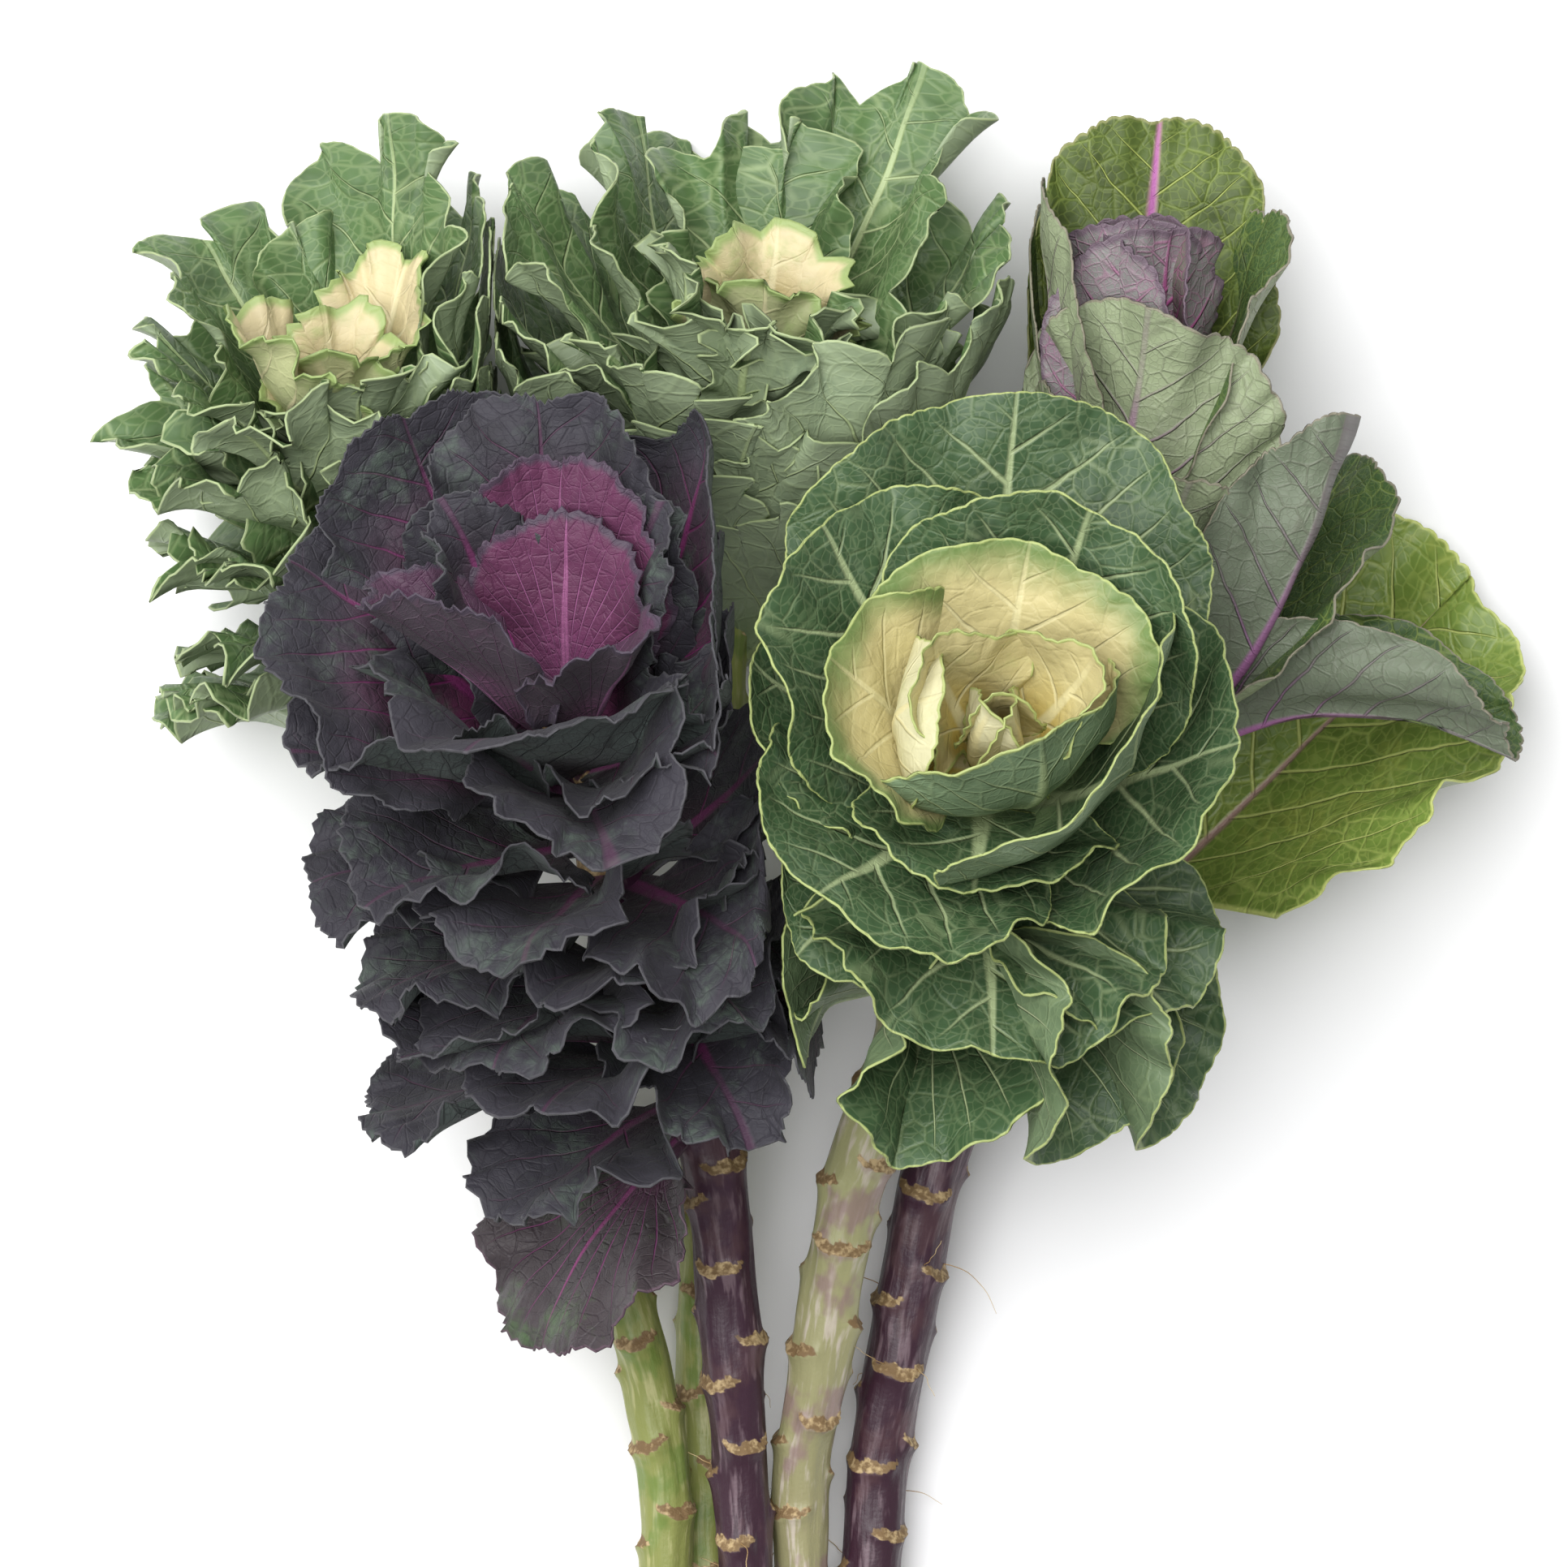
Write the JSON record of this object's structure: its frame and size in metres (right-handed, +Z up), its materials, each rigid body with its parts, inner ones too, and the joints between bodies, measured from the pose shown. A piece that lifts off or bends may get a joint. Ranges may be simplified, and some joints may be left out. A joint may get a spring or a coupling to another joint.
{
  "type": "purple kale bunch",
  "caption": "Bunch of cut ornamental kale stems lying on a surface, with purple, cream-hearted, tall and frilled leafy heads.",
  "frame": {"origin": "Bottom centre of the bunch's bounding box, on the surface that it lies on.", "axes": "+Y along the bunch from the cut ends towards the heads, +Z up off the surface, +X to the right when the bunch is looked down on with its heads away from the viewer."},
  "size_m": [0.359, 0.4806, 0.1663],
  "materials": {
    "purple_stem": "waxy",
    "pale_stem": "waxy",
    "green_stem": "waxy",
    "purple_leaves": "waxy bloom",
    "magenta_heart": "satin",
    "smooth_green_leaves": "waxy bloom",
    "grey_green_leaves": "waxy bloom",
    "purple_tinged_heart": "satin",
    "frilled_green_leaves": "waxy bloom",
    "cream_heart": "satin"
  },
  "bodies": {
    "root": {"purple_stem": "purple_stem", "purple_leaves": "purple_leaves", "purple_heart": "magenta_heart", "cream_stem": "pale_stem", "cream_leaves": "smooth_green_leaves", "cream_heart": "cream_heart", "tall_stem": "purple_stem", "tall_leaves": "grey_green_leaves", "tall_heart": "purple_tinged_heart", "frilledLeft_stem": "green_stem", "frilledLeft_leaves": "frilled_green_leaves", "frilledLeft_heart": "cream_heart", "frilledMiddle_stem": "green_stem", "frilledMiddle_leaves": "frilled_green_leaves", "frilledMiddle_heart": "cream_heart"}
  },
  "joints": []
}
